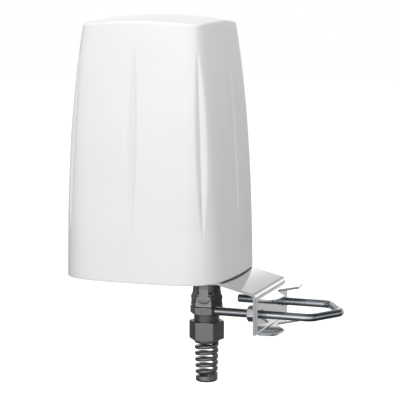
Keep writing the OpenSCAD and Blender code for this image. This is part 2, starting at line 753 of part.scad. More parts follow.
module rf_jacks() {
  color(c_brass) at_radome() at_router_top() union() {
    translate([0, 0, -8]) cylinder(d = 6.2, h = 15);
    translate([0, 0, 0]) hex(8, 2);
    translate([0, 0, -case_t - 2]) hex(8, 2);
  }
}
plug_low = 2.2;
module rf_plugs() {
  color(c_brass) at_radome() at_router_top() translate([0, 0, plug_low]) difference() {
    union() {
      hex(8, 7.8);
      translate([0, 0, 7.8]) cylinder(d = 5, h = 6);
    }
    translate([0, 0, -1]) cylinder(d = 6.3, h = 6);
    translate([0, 0, 7.8]) cylinder(d = coax_d + 0.1, h = 8);
  }
}

// Printed antennas: a board with a raised copper figure on one face
board_t = 1.6;
copper_t = 0.3;
lte_w = 46;
lte_h = 150;
lte_y = 50;
lte_x = 26;
clip_h = 8;
antenna_low = router_low + 3;
module lte_board() {
  translate([-lte_w / 2, 0, antenna_low]) cube([lte_w, board_t, lte_h]);
  for (m = [0, 1]) translate([0, -copper_t, antenna_low + lte_h / 2]) mirror([0, 0, m]) {
    translate([-18, 0, 2]) cube([36, copper_t + eps, 30]);
    translate([-18, 0, 34]) cube([14, copper_t + eps, 34]);
    translate([6, 0, 34]) cube([12, copper_t + eps, 22]);
  }
}
module lte_antenna_left() {
  color(c_pcb) at_radome() translate([lte_x, lte_y, 0]) lte_board();
}
module lte_antenna_right() {
  color(c_pcb) at_radome() translate([lte_x, -lte_y, 0]) mirror([0, 1, 0]) lte_board();
}
wifi_w = 22;
wifi_h = 90;
wifi_x = -52;
wifi_y = 20;
module wifi_board() {
  translate([0, -wifi_w / 2, antenna_low]) cube([board_t, wifi_w, wifi_h]);
  for (k = [0 : 2]) translate([-copper_t, -7, antenna_low + 14 + 26 * k]) cube([copper_t + eps, 14, 18]);
}
module wifi_antenna_front() {
  color(c_pcb) at_radome() translate([wifi_x, -wifi_y, 0]) wifi_board();
}
module wifi_antenna_rear() {
  color(c_pcb) at_radome() translate([wifi_x, wifi_y, 0]) wifi_board();
}
module gnss_antenna() {
  color(c_pcb) at_radome() translate([0, 0, tray_z + tray_t]) union() {
    translate([-14, -14, 0]) cube([28, 28, 1.2]);
    translate([-12.5, -12.5, 1.2 - eps]) cube([25, 25, 4]);
    translate([-10, -10, 5.2 - 2 * eps]) cube([20, 20, 0.3]);
  }
}
// Slotted blocks on the ground plane that hold the feet of the boards
module clip(w) {
  difference() {
    translate([-w / 2, -4, 0]) cube([w, 8, clip_h]);
    translate([-w, -board_t / 2 - 0.4, 3]) cube([2 * w, board_t + 0.8, clip_h]);
  }
}
module antenna_clips() {
  color(c_base) at_radome() translate([0, 0, router_low]) union() {
    for (s = [-1, 1], i = [-1, 1]) translate([lte_x + i * 14, s * (lte_y + board_t / 2), 0]) clip(8);
    for (s = [-1, 1]) translate([wifi_x + board_t / 2, s * wifi_y, 0]) rotate([0, 0, 90]) clip(14);
  }
}

// Coaxial leads from the plugs to the antennas, swept along hand-chosen routes
coax_d = 2.6;
coax_sides = 8;
plug_z = router_low + router_h + plug_low + 8;
lead_top = plug_z + 26;
function route(y0, turn, feed) = [
  [router_x, y0, plug_z], [router_x, y0, plug_z + 10], [router_x, y0, plug_z + 18],
  [router_x + 2 * turn[0], y0 + 2 * turn[1], plug_z + 23],
  [router_x + 8 * turn[0], y0 + 8 * turn[1], lead_top],
  [feed[0] - 8 * turn[0], feed[1] - 8 * turn[1], lead_top - 2],
  [feed[0] - 2 * turn[0], feed[1] - 2 * turn[1], lead_top - 6],
  [feed[0], feed[1], lead_top - 12], [feed[0], feed[1], feed[2] + 10], [feed[0], feed[1], feed[2]]
];
function unit(v) = v / norm(v);
// Points on a smooth curve through the route (Catmull-Rom)
route_steps = 3;
function spline(p, i, s) =
  let (a = p[max(i - 1, 0)], b = p[i], c = p[i + 1], d = p[min(i + 2, len(p) - 1)])
  0.5 * (2 * b + (c - a) * s + (2 * a - 5 * b + 4 * c - d) * s * s + (3 * b - a - 3 * c + d) * s * s * s);
function smooth(p) = concat(
  [for (i = [0 : len(p) - 2], k = [0 : route_steps - 1]) spline(p, i, k / route_steps)],
  [p[len(p) - 1]]
);
module tube(path, d) {
  pts = smooth(path);
  n = len(pts);
  rings = [for (i = [0 : n - 1])
    let (
      w = unit(pts[min(i + 1, n - 1)] - pts[max(i - 1, 0)]),
      u = unit(cross(w, abs(w[2]) > 0.9 ? [1, 0, 0] : [0, 0, 1])),
      v = cross(w, u)
    )
    for (a = [0 : 360 / coax_sides : 359]) pts[i] + d / 2 * (u * cos(a) + v * sin(a))];
  m = coax_sides;
  polyhedron(rings, concat(
    [[for (j = [0 : m - 1]) j]],
    [for (i = [0 : n - 2], j = [0 : m - 1])
      let (a = i * m + j, b = i * m + (j + 1) % m) each [[a, b + m, b], [a, a + m, b + m]]],
    [[for (j = [m - 1 : -1 : 0]) (n - 1) * m + j]]
  ));
}
module lead(path) {
  color(c_coax) at_radome() tube(path, coax_d);
}
lte_feed_z = antenna_low + lte_h / 2;
module lte_lead_left() {
  lead(route(rf_y[4], unit([1, 0.3, 0]), [lte_x, lte_y - 2.2, lte_feed_z]));
}
module lte_lead_right() {
  lead(route(rf_y[0], unit([1, -0.3, 0]), [lte_x, -lte_y + 2.2, lte_feed_z]));
}
wifi_feed_z = antenna_low + 60;
module wifi_lead_front() {
  lead(route(rf_y[1], [-1, 0, 0], [wifi_x + board_t + 1.8, -wifi_y, wifi_feed_z]));
}
module wifi_lead_rear() {
  lead(route(rf_y[3], [-1, 0, 0], [wifi_x + board_t + 1.8, wifi_y, wifi_feed_z]));
}
module gnss_lead() {
  lead([
    [router_x, 0, plug_z], [router_x, 0, plug_z + 7], [router_x, 0, plug_z + 12], [router_x + 4, 0, plug_z + 18],
    [router_x + 18, 0, plug_z + 22], [router_x + 32, 0, plug_z + 25], [router_x + 38, 0, plug_z + 31],
    [24, 0, tray_z - 4], [24, 0, tray_z + tray_t + 2], [23, 0, tray_z + tray_t + 6], [19.5, 0, tray_z + tray_t + 7.6],
    [14.6, 0, tray_z + tray_t + 7.6]
  ]);
}

radome();
base_plate();
base_gasket();
base_screws();
base_inserts();
bracket();
bracket_bolts();
bracket_washers();
clamp_jaw();
u_bolt();
u_bolt_nut_front();
u_bolt_nut_rear();
u_bolt_washers();
gland_adapter();
adapter_seal();
adapter_locknut();
gland_body();
gland_o_ring();
gland_seal();
slip_ring();
dome_nut();
bend_spiral();
standoffs();
standoff_screws();
ground_plane();
ground_screws();
tray_pillars();
pillar_screws();
upper_tray();
tray_screws();
router_case();
router_cover();
router_board();
router_cover_screws();
router_mount_screws();
ethernet_jack();
rf_jacks();
rf_plugs();
lte_antenna_left();
lte_antenna_right();
wifi_antenna_front();
wifi_antenna_rear();
gnss_antenna();
antenna_clips();
lte_lead_left();
lte_lead_right();
wifi_lead_front();
wifi_lead_rear();
gnss_lead();
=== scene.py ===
import json
import math

import bmesh
import bpy
from mathutils import Matrix, Vector


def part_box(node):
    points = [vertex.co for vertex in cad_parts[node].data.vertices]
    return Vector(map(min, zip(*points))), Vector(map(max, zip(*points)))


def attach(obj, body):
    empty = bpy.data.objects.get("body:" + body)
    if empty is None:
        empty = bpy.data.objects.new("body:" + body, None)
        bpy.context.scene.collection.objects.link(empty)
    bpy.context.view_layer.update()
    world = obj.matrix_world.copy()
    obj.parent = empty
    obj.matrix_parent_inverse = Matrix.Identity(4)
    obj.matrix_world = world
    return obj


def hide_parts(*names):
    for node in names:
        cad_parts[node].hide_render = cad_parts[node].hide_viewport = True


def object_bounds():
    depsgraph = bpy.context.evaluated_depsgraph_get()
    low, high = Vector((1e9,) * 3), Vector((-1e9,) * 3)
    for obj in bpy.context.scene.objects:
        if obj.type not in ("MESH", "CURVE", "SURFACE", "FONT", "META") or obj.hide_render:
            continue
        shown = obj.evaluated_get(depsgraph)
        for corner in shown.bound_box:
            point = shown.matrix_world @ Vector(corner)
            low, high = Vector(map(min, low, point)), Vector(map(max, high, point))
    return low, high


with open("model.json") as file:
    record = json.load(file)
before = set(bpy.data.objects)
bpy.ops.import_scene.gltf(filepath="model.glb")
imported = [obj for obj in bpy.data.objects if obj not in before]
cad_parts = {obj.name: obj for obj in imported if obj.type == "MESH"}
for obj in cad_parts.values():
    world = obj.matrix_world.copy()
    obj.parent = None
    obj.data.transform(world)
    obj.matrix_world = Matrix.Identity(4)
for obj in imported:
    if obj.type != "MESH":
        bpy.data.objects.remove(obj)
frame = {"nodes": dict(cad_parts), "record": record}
cad_low, cad_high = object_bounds()

MM = 0.001
TAU = 2 * math.pi


# ---------------------------------------------------------------- places taken from the frame

def middle(node):
    low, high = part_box(node)
    return (low + high) / 2


def size(node):
    low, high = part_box(node)
    return high - low


AXIS_X = middle("radome").x
RIM_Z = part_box("radome")[0].z
GLAND_X = middle("gland_seal").x
ROD_Z = middle("u_bolt").z


# ---------------------------------------------------------------- mesh helpers

def new_object(name, verts, faces, smooth=True):
    mesh = bpy.data.meshes.new(name)
    mesh.from_pydata([tuple(v) for v in verts], [], faces)
    mesh.validate()
    mesh.update()
    if smooth:
        mesh.shade_smooth()
    piece = bpy.data.objects.new(name, mesh)
    bpy.context.scene.collection.objects.link(piece)
    return piece


def fix_normals(piece):
    bm = bmesh.new()
    bm.from_mesh(piece.data)
    bmesh.ops.recalc_face_normals(bm, faces=bm.faces)
    bm.to_mesh(piece.data)
    bm.free()


def sharpen(piece, degrees):
    piece.data.set_sharp_from_angle(angle=math.radians(degrees))


def loft(name, rings, closed=False, smooth=True):
    """Joins rings of equal length. closed joins the last ring to the first,
    otherwise both ends are capped."""
    n = len(rings[0])
    verts = [p for ring in rings for p in ring]
    last = len(rings) if closed else len(rings) - 1
    faces = []
    for i in range(last):
        k = (i + 1) % len(rings)
        for j in range(n):
            m = (j + 1) % n
            faces.append((i * n + j, i * n + m, k * n + m, k * n + j))
    if not closed:
        faces.append(tuple(range(n)))
        faces.append(tuple((len(rings) - 1) * n + j for j in range(n)))
    piece = new_object(name, verts, faces, smooth)
    fix_normals(piece)
    return piece


def joined(name, pieces):
    """One object from several, without their materials."""
    bm = bmesh.new()
    for piece in pieces:
        bm.from_mesh(piece.data)
    mesh = bpy.data.meshes.new(name)
    bm.to_mesh(mesh)
    bm.free()
    for piece in pieces:
        bpy.data.objects.remove(piece)
    whole = bpy.data.objects.new(name, mesh)
    bpy.context.scene.collection.objects.link(whole)
    return whole


def smooth_min(a, b, soft):
    return (a + b - math.sqrt((a - b) ** 2 + soft * soft)) / 2


def smooth_step(x):
    x = min(max(x, 0.0), 1.0)
    return x * x * (3 - 2 * x)


def take_over(piece, node, body, slot):
    """The piece stands for a CAD node, rides on its body and gets its slot's material."""
    piece.data.materials.clear()
    piece.data.materials.append(MATERIALS[slot])
    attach(piece, body)
    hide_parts(node)


WELD = 0.001 * MM
FLAT_ANGLE = math.radians(0.5)
ROUNDED_ANGLE = math.radians(25)


def softened(node, name, width):
    """A copy of a CAD node whose flat faces are whole and whose edges are rounded."""
    mesh = frame["nodes"][node].data.copy()
    mesh.name = name
    bm = bmesh.new()
    bm.from_mesh(mesh)
    bmesh.ops.remove_doubles(bm, verts=bm.verts, dist=WELD)
    bmesh.ops.dissolve_limit(bm, angle_limit=FLAT_ANGLE, verts=bm.verts, edges=bm.edges)
    bm.to_mesh(mesh)
    bm.free()
    if "custom_normal" in mesh.attributes:
        mesh.attributes.remove(mesh.attributes["custom_normal"])
    piece = bpy.data.objects.new(name, mesh)
    bpy.context.scene.collection.objects.link(piece)
    bevel = piece.modifiers.new("edge_rounding", "BEVEL")
    bevel.width = width
    bevel.segments = 2
    bevel.limit_method = "ANGLE"
    bevel.angle_limit = ROUNDED_ANGLE
    bevel.use_clamp_overlap = True
    weighted = piece.modifiers.new("flat_faces", "WEIGHTED_NORMAL")
    weighted.mode = "FACE_AREA_WITH_ANGLE"
    weighted.weight = 100
    piece.data.shade_smooth()
    bpy.context.view_layer.update()
    rounded = piece.evaluated_get(bpy.context.evaluated_depsgraph_get())
    done = bpy.data.meshes.new_from_object(rounded)
    piece.modifiers.clear()
    piece.data = done
    return piece


# ---------------------------------------------------------------- materials

def noise_node(nodes, links, coords, scale, detail=3.0, rough=0.5, stretch=None):
    tex = nodes.new("ShaderNodeTexNoise")
    tex.inputs["Scale"].default_value = scale
    tex.inputs["Detail"].default_value = detail
    tex.inputs["Roughness"].default_value = rough
    source = coords.outputs["Object"]
    if stretch:
        mapping = nodes.new("ShaderNodeMapping")
        mapping.inputs["Scale"].default_value = stretch
        links.new(source, mapping.inputs["Vector"])
        source = mapping.outputs["Vector"]
    links.new(source, tex.inputs["Vector"])
    return tex.outputs["Fac"]


def remap(nodes, links, value, low, high, to_low, to_high):
    node = nodes.new("ShaderNodeMapRange")
    node.inputs["From Min"].default_value = low
    node.inputs["From Max"].default_value = high
    node.inputs["To Min"].default_value = to_low
    node.inputs["To Max"].default_value = to_high
    links.new(value, node.inputs["Value"])
    return node.outputs["Result"]


def mixed(nodes, links, fac, dark, light):
    node = nodes.new("ShaderNodeMix")
    node.data_type = "RGBA"
    for socket, colour in (("A", dark), ("B", light)):
        target = [s for s in node.inputs if s.name == socket and s.type == "RGBA"][0]
        if isinstance(colour, tuple):
            target.default_value = (*colour, 1.0)
        else:
            links.new(colour, target)
    links.new(fac, node.inputs[0])
    return [s for s in node.outputs if s.type == "RGBA"][0]


def surface(
    name, dark, light, metallic, rough, patch, grain, bump,
    stretch=None, edge=None, coat=0.0, specular=0.5, patch_stretch=None, ior=1.5,
    painted_edge_shade=None,
):
    """A procedural finish. dark and light are mixed by soft patches, rough runs over finer
    noise, grain is the size of the surface texture per metre and bump its height in metres.
    edge is the colour that rubbed edges show, and the colour for the faces across Y,
    the sheet's edges, is painted shade that darkens them as if they lay in shadow."""
    mat = bpy.data.materials.new(name)
    mat.use_nodes = True
    nodes, links = mat.node_tree.nodes, mat.node_tree.links
    shader = nodes["Principled BSDF"]
    coords = nodes.new("ShaderNodeTexCoord")
    patches = noise_node(nodes, links, coords, patch, 4.0, 0.55, patch_stretch)
    colour = mixed(nodes, links, remap(nodes, links, patches, 0.35, 0.65, 0, 1), dark, light)
    if edge:
        geometry = nodes.new("ShaderNodeNewGeometry")
        worn = remap(nodes, links, geometry.outputs["Pointiness"], 0.52, 0.6, 0, 1)
        colour = mixed(nodes, links, worn, colour, edge)
    # Painted shade: faces across Y, the sheet's edges, take a darker colour as if in shadow
    if painted_edge_shade:
        facing = nodes.new("ShaderNodeSeparateXYZ")
        links.new(coords.outputs["Normal"], facing.inputs["Vector"])
        across = nodes.new("ShaderNodeMath")
        across.operation = "ABSOLUTE"
        links.new(facing.outputs["Y"], across.inputs[0])
        # cut here is the share of painted shade, from how nearly a face looks along Y
        cut = remap(nodes, links, across.outputs["Value"], 0.5, 0.8, 0, 1)
        colour = mixed(nodes, links, cut, colour, painted_edge_shade)
    links.new(colour, shader.inputs["Base Color"])
    fine = noise_node(nodes, links, coords, grain, 3.0, 0.6, stretch)
    middling = noise_node(nodes, links, coords, patch * 4, 3.0, 0.5, stretch)
    roughness = remap(nodes, links, middling, 0.3, 0.7, rough[0], rough[1])
    links.new(roughness, shader.inputs["Roughness"])
    relief = nodes.new("ShaderNodeBump")
    relief.inputs["Strength"].default_value = 1.0
    relief.inputs["Distance"].default_value = bump
    links.new(fine, relief.inputs["Height"])
    links.new(relief.outputs["Normal"], shader.inputs["Normal"])
    shader.inputs["Metallic"].default_value = metallic
    shader.inputs["Specular IOR Level"].default_value = specular
    shader.inputs["IOR"].default_value = ior
    shader.inputs["Coat Weight"].default_value = coat
    return mat


MATERIALS = {
    "radome_white": surface(
        "radome_white", (0.80, 0.805, 0.81), (0.83, 0.832, 0.835), 0.0, (0.36, 0.44),
        14, 2600, 0.000012,
    ),
    "base_white": surface(
        "base_white", (0.68, 0.685, 0.69), (0.74, 0.742, 0.745), 0.0, (0.5, 0.6),
        20, 1800, 0.00003,
    ),
    "gland_black": surface(
        "gland_black", (0.044, 0.044, 0.045), (0.052, 0.052, 0.053), 0.0, (0.30, 0.38),
        120, 2600, 0.000015, edge=(0.07, 0.07, 0.071), specular=1.0, ior=1.75,
    ),
    "seal_rubber": surface(
        "seal_rubber", (0.012, 0.012, 0.012), (0.02, 0.02, 0.02), 0.0, (0.6, 0.75),
        90, 2200, 0.00003,
    ),
    "zinc_sheet": surface(
        "zinc_sheet", (0.75, 0.76, 0.765), (0.80, 0.805, 0.81), 1.0, (0.08, 0.12),
        60, 1500, 0.000005, stretch=(1, 0.08, 1), edge=(0.82, 0.83, 0.84),
        # The dark colour for the sheet's edges across Y is painted shade
        patch_stretch=(1, 0.4, 1), painted_edge_shade=(0.34, 0.345, 0.35),
    ),
    "zinc_rod": surface(
        "zinc_rod", (0.44, 0.47, 0.505), (0.51, 0.54, 0.565), 1.0, (0.22, 0.3),
        110, 1800, 0.000004, stretch=(0.05, 1, 1), edge=(0.7, 0.71, 0.72),
        patch_stretch=(0.3, 1, 1),
    ),
    "zinc_screws": surface(
        "zinc_screws", (0.42, 0.435, 0.45), (0.54, 0.55, 0.56), 1.0, (0.28, 0.4),
        160, 2400, 0.00001, edge=(0.68, 0.69, 0.7),
    ),
    "brass": surface(
        "brass", (0.60, 0.43, 0.18), (0.72, 0.53, 0.24), 1.0, (0.25, 0.36), 150, 2600, 0.00001,
    ),
    "gold_brass": surface(
        "gold_brass", (0.80, 0.56, 0.20), (0.86, 0.64, 0.28), 1.0, (0.2, 0.3),
        150, 2600, 0.000008,
    ),
    "aluminium": surface(
        "aluminium", (0.68, 0.69, 0.7), (0.76, 0.77, 0.78), 1.0, (0.3, 0.42),
        40, 1800, 0.00001, stretch=(1, 0.05, 1),
    ),
    "case_grey": surface(
        "case_grey", (0.035, 0.038, 0.043), (0.045, 0.048, 0.054), 0.0, (0.45, 0.55),
        60, 2600, 0.00003,
    ),
    "circuit_board": surface(
        "circuit_board", (0.008, 0.075, 0.03), (0.012, 0.10, 0.04), 0.0, (0.3, 0.4),
        90, 2400, 0.00001, coat=0.3,
    ),
    "ceramic": surface(
        "ceramic", (0.50, 0.43, 0.33), (0.58, 0.51, 0.40), 0.0, (0.3, 0.42), 120, 2600, 0.00001,
    ),
    "coax_jacket": surface(
        "coax_jacket", (0.012, 0.012, 0.013), (0.02, 0.02, 0.021), 0.0, (0.4, 0.5),
        150, 2600, 0.00001,
    ),
}

SLOT_OF = {row["node"]: row["material_slot"] for row in frame["record"]["subparts"]}


def dress_cad_nodes():
    for node, piece in frame["nodes"].items():
        piece.data.materials.clear()
        piece.data.materials.append(MATERIALS[SLOT_OF[node]])


# ---------------------------------------------------------------- radome

BASE_A = size("radome").x / 2
TOP_A = 61.2 * MM
EDGE_H = 231.6 * MM
DRAFT = 6.3 * MM
BOW = (7.6 * MM, 8.1 * MM)
CORNER = (36.3 * MM, 12.4 * MM)
DOME_R = 347 * MM
WALL = 3 * MM
GROOVE_DEPTH = 2.8 * MM
GROOVE_HALF_W = 3.9 * MM
GROOVE_END_HALF_W = 0.6 * MM
GROOVE_HALF_L = 85 * MM
GROOVE_MID_Z = 127 * MM
CORNER_GROOVE = 1.25
TOP_EDGE_R = 1.1 * MM
TOP_EDGE_ANGLES = (22.5, 45, 67.5, 90)
OUTER_LEVELS, INNER_LEVELS = 130, 50
INNER_LOW = 9 * MM
# Insets and heights of the softened rim, and of the step in which the base plate sits
RIM_EDGE = ((0.5, 0), (0.15, 0.12), (0, 0.5))
RIM_STEP = ((6.5, 8), (6.5, 5), (2.3, 5), (2.3, 0))
# Sizes of the rings on the domed top, as shares of its edge
DOME_SHARES = (0.95, 0.88, 0.8, 0.7, 0.6, 0.5, 0.4, 0.3, 0.2, 0.1, 0.03)
CEILING_SHARES = (0.03, 0.2, 0.4, 0.6, 0.8, 0.95)


def share(pair, t):
    return pair[0] + (pair[1] - pair[0]) * t


class Outline:
    """The radome's plan at height share t: bowed sides and round corners,
    by arc length from a side's middle."""

    def __init__(self, t):
        half = BASE_A - DRAFT * t - (BASE_A - TOP_A - DRAFT) * t ** 3
        bow = share(BOW, t)
        self.corner_r = share(CORNER, t)
        self.side_r = (half * half + bow * bow) / (2 * bow)
        self.side_c = half - self.side_r
        gap = self.side_r - self.corner_r
        self.k = (2 * self.side_c + math.sqrt(8 * gap * gap - 4 * self.side_c ** 2)) / 4
        self.tangent = math.atan2(self.k, self.k - self.side_c)
        self.side_length = self.side_r * self.tangent
        self.length = self.side_length + self.corner_r * (TAU / 8 - self.tangent)

    def point(self, along, inset):
        if along < self.side_length:
            a = along / self.side_r
            r = self.side_r - inset
            return self.side_c + r * math.cos(a), r * math.sin(a)
        a = self.tangent + (along - self.side_length) / self.corner_r
        r = self.corner_r - inset
        return self.k + r * math.cos(a), self.k + r * math.sin(a)


def groove_strength(z):
    return max(0.0, 1 - ((z - GROOVE_MID_Z) / GROOVE_HALF_L) ** 2)


# Places across a groove, in half widths from its middle
GROOVE_PLACES = (0.0, 0.04, 0.12, 0.3, 0.5, 0.7, 0.85, 0.94, 1.0, 1.06, 1.15, 1.3, 1.6)
PLAIN_STEPS = 10
EDGE_SOFT = 0.12


def groove_dip(place, strength):
    """Depth of a V whose lips are softly rounded."""
    lean = 1 - place
    soft = math.sqrt(lean * lean + EDGE_SOFT * EDGE_SOFT)
    return GROOVE_DEPTH * strength * (lean + soft) / 2


def eighth(outline, inset, z):
    """Points from a side's middle to the corner's diagonal, with the two half grooves."""
    strength = groove_strength(z)
    half_w = GROOVE_END_HALF_W + GROOVE_HALF_W * strength
    corner_w = half_w * CORNER_GROOVE
    points = []
    for place in GROOVE_PLACES:
        points.append(outline.point(place * half_w, inset + groove_dip(place, strength)))
    first = GROOVE_PLACES[-1] * half_w
    last = outline.length - GROOVE_PLACES[-1] * corner_w
    for i in range(1, PLAIN_STEPS):
        points.append(outline.point(first + (last - first) * i / PLAIN_STEPS, inset))
    for place in reversed(GROOVE_PLACES):
        along = outline.length - place * corner_w
        points.append(outline.point(along, inset + groove_dip(place, strength)))
    return points


def plan_ring(t, inset, z):
    part = eighth(Outline(t), inset, z)
    quarter = part + [(y, x) for x, y in reversed(part[1:-1])]
    ring = []
    for k in range(4):
        c, s = round(math.cos(TAU * k / 4)), round(math.sin(TAU * k / 4))
        ring += [(x * c - y * s, x * s + y * c) for x, y in quarter]
    return ring


def dome_z(x, y, inset):
    return EDGE_H - inset - (x * x + y * y - TOP_A * TOP_A) / (2 * DOME_R)


def wall_ring(t, inset, low):
    """A ring whose height follows the domed top edge."""
    z = low + (EDGE_H - low) * t
    ring = plan_ring(z / EDGE_H, inset, z)
    return [(x, y, low + (dome_z(x, y, inset) - low) * t) for x, y in ring]


def dome_ring(scale, inset, drop=0.0):
    ring = plan_ring(1, inset, EDGE_H)
    return [(x * scale, y * scale, dome_z(x * scale, y * scale, inset) - drop) for x, y in ring]


def flat_ring(inset, z):
    return [(x, y, z) for x, y in plan_ring(z / EDGE_H, inset, z)]


def build_radome():
    rings = [flat_ring(inset * MM, z * MM) for inset, z in RIM_EDGE]
    for i in range(1, OUTER_LEVELS + 1):
        rings.append(wall_ring(i / OUTER_LEVELS * (1 - TOP_EDGE_R / EDGE_H), 0, 0))
    for a in TOP_EDGE_ANGLES:
        out = TOP_EDGE_R * (1 - math.cos(math.radians(a)))
        drop = TOP_EDGE_R * (1 - math.sin(math.radians(a)))
        rings.append(dome_ring(1 - out / TOP_A, 0, drop))
    rings += [dome_ring(scale, 0) for scale in DOME_SHARES]
    crown = len(rings)
    rings += [dome_ring(scale, WALL) for scale in CEILING_SHARES]
    for i in range(INNER_LEVELS, -1, -1):
        rings.append(wall_ring(i / INNER_LEVELS * 0.99, WALL, INNER_LOW))
    rings += [flat_ring(inset * MM, z * MM) for inset, z in RIM_STEP]
    rings = [[(x + AXIS_X, y, z + RIM_Z) for x, y, z in ring] for ring in rings]
    n = len(rings[0])
    verts = [p for ring in rings for p in ring]
    faces = []
    for i in range(len(rings)):
        if i == crown - 1:
            faces.append(tuple(i * n + j for j in range(n)))
            faces.append(tuple((i + 1) * n + j for j in reversed(range(n))))
            continue
        k = (i + 1) % len(rings)
        for j in range(n):
            m = (j + 1) % n
            faces.append((i * n + j, i * n + m, k * n + m, k * n + j))
    piece = new_object("radome_shell", verts, faces)
    fix_normals(piece)
    sharpen(piece, 32)
    return piece


# ---------------------------------------------------------------- hexagons and turned parts

HEX_N = 240
# How far a rounded corner is cut back and how softly, as shares of its radius
CORNER_CUT, CORNER_SOFT = 0.15, 0.35
CONE_SOFT = 0.12 * MM
# How far inside the flats a chamfer's cone starts
CONE_START = 0.3 * MM


def hex_radius(angle, half_flat, corner_r):
    """Distance to a hexagon's side, with its corners rounded. Corners point along angle 0."""
    a = (angle + TAU / 12) % (TAU / 6) - TAU / 12
    away = TAU / 12 - abs(a)
    flat = half_flat / math.cos(away)
    corner = half_flat / math.cos(TAU / 12) - corner_r * CORNER_CUT
    return smooth_min(flat, corner, corner_r * CORNER_SOFT)


def circle(radius, z, n, turn=0.0):
    return [
        (radius * math.cos(TAU * j / n + turn), radius * math.sin(TAU * j / n + turn), z)
        for j in range(n)
    ]


def turned_hex(name, outer, inner, turn, corner_r):
    """outer holds (height, half flat or None, cone radius) down the outside, and inner
    holds (height, radius) back up the bore."""
    rings = []
    for z, half_flat, cone in outer:
        ring = []
        for j in range(HEX_N):
            a = TAU * j / HEX_N
            r = cone
            if half_flat:
                r = smooth_min(hex_radius(a, half_flat, corner_r), cone, CONE_SOFT)
            ring.append((r * math.cos(a + turn), r * math.sin(a + turn), z))
        rings.append(ring)
    rings += [circle(radius, z, HEX_N, turn) for z, radius in inner]
    return loft(name, rings, closed=True)


def moved_by(piece, matrix):
    piece.data.transform(matrix)
    return piece


def chamfer_levels(top, low, half_flat, cut, cut_out, steps=10):
    """Levels of a hexagon whose corners are cut back by cones at both ends."""
    near, far = half_flat - CONE_START, cut_out + CONE_START
    levels = [
        (top - cut * i / steps, half_flat, near + far * i / steps) for i in range(steps + 1)
    ]
    for i in range(steps + 1):
        cone = half_flat + cut_out - far * i / steps
        levels.append((low + cut - cut * i / steps, half_flat, cone))
    return levels


NUT_TURN = math.radians(-18)
NUT_HALF_FLAT = 6.5 * MM
NUT_BORE_R = 4.0 * MM
NUT_BORE_CUT = 0.5 * MM
NUT_CUT, NUT_CUT_OUT = 0.9 * MM, 1.1 * MM


def build_rod_nut(node, name):
    low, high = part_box(node)
    length = high.x - low.x
    levels = chamfer_levels(length, 0, NUT_HALF_FLAT, NUT_CUT, NUT_CUT_OUT)
    mouth = NUT_BORE_R + NUT_BORE_CUT
    inner = [
        (0, mouth), (NUT_BORE_CUT, NUT_BORE_R), (length - NUT_BORE_CUT, NUT_BORE_R),
        (length, mouth),
    ]
    piece = turned_hex(name, levels, inner, NUT_TURN, 0.4 * MM)
    sharpen(piece, 40)
    place = Matrix.Translation((low.x, (low.y + high.y) / 2, ROD_Z))
    return moved_by(piece, place @ Matrix.Rotation(TAU / 4, 4, "Y"))


# ---------------------------------------------------------------- cable gland

FLANGE_TURN = math.radians(6)
DOME_TURN = math.radians(10)


def at_gland(piece):
    return moved_by(piece, Matrix.Translation((GLAND_X, 0, RIM_Z)))


def rounded_box(u, v, half_u, half_v, radius):
    """Signed distance to a rectangle with round corners."""
    du, dv = abs(u) - half_u + radius, abs(v) - half_v + radius
    outside = math.hypot(max(du, 0), max(dv, 0))
    return outside + min(max(du, dv), 0) - radius


def between(steps, x):
    """A value read off a list of (place, value) steps with straight lines between them."""
    if x >= steps[0][0]:
        return steps[0][1]
    for (x0, v0), (x1, v1) in zip(steps, steps[1:]):
        if x >= x1:
            return v0 + (v1 - v0) * (x - x0) / (x1 - x0)
    return steps[-1][1]


# A grip tongue is a straight stem that ends in a wider foot with a round underside
STEM_Z, STEM_HALF_W, STEM_HALF_H = -8.5 * MM, 4.6 * MM, 14.5 * MM
FOOT_Z, FOOT_HALF_W = -22.2 * MM, 7.0 * MM
FOOT_RISE, FOOT_DROP = 1.5 * MM, 5.2 * MM
TONGUE_SOFT = 0.7 * MM


def tongue_height(u, z):
    """How far inside a grip tongue's outline a place is, as a share with a soft edge."""
    stem = rounded_box(u, z - STEM_Z, STEM_HALF_W, STEM_HALF_H, 0.5 * MM)
    if z < FOOT_Z:
        reach = math.hypot(u / FOOT_HALF_W, (z - FOOT_Z) / FOOT_DROP)
        foot = (reach - 1) * FOOT_DROP
    else:
        foot = rounded_box(u, z - FOOT_Z, FOOT_HALF_W, FOOT_RISE, 1.2 * MM)
    return smooth_step(0.5 - min(stem, foot) / TONGUE_SOFT)


# Below the tongues the adapter widens to the flange. Heights with half its flats, and
# with the round cap of its corners, in millimetres.
CORE_FLATS = ((-17.5, 11.0), (-21, 11.4), (-24, 12.3), (-27, 12.8), (-30.6, 13.25))
CORE_CAP = ((-17.5, 11.2), (-19, 12.2), (-20.5, 13.8), (-24.5, 14.6), (-30.6, 15.2))


# Distance of a tongue's face from the axis at its top, and how much further out its foot is
TONGUE_FACE, TONGUE_LEAN, TONGUE_ROUND = 12.05 * MM, 1.4 * MM, 1.5 * MM
LEAN_FROM, LEAN_OVER = 14 * MM, 11 * MM


def adapter_radius(angle, z):
    a = (angle - FLANGE_TURN) % (TAU / 6) - TAU / 12
    face = TONGUE_FACE + TONGUE_LEAN * smooth_step((-z - LEAN_FROM) / LEAN_OVER)
    tongue = min(face / math.cos(a), face + TONGUE_ROUND)
    flats, cap = between(CORE_FLATS, z / MM), between(CORE_CAP, z / MM)
    core = min(flats / math.cos(a), cap) * MM
    u = face * math.tan(a)
    return core + max(0.0, tongue - core) * tongue_height(u, z)


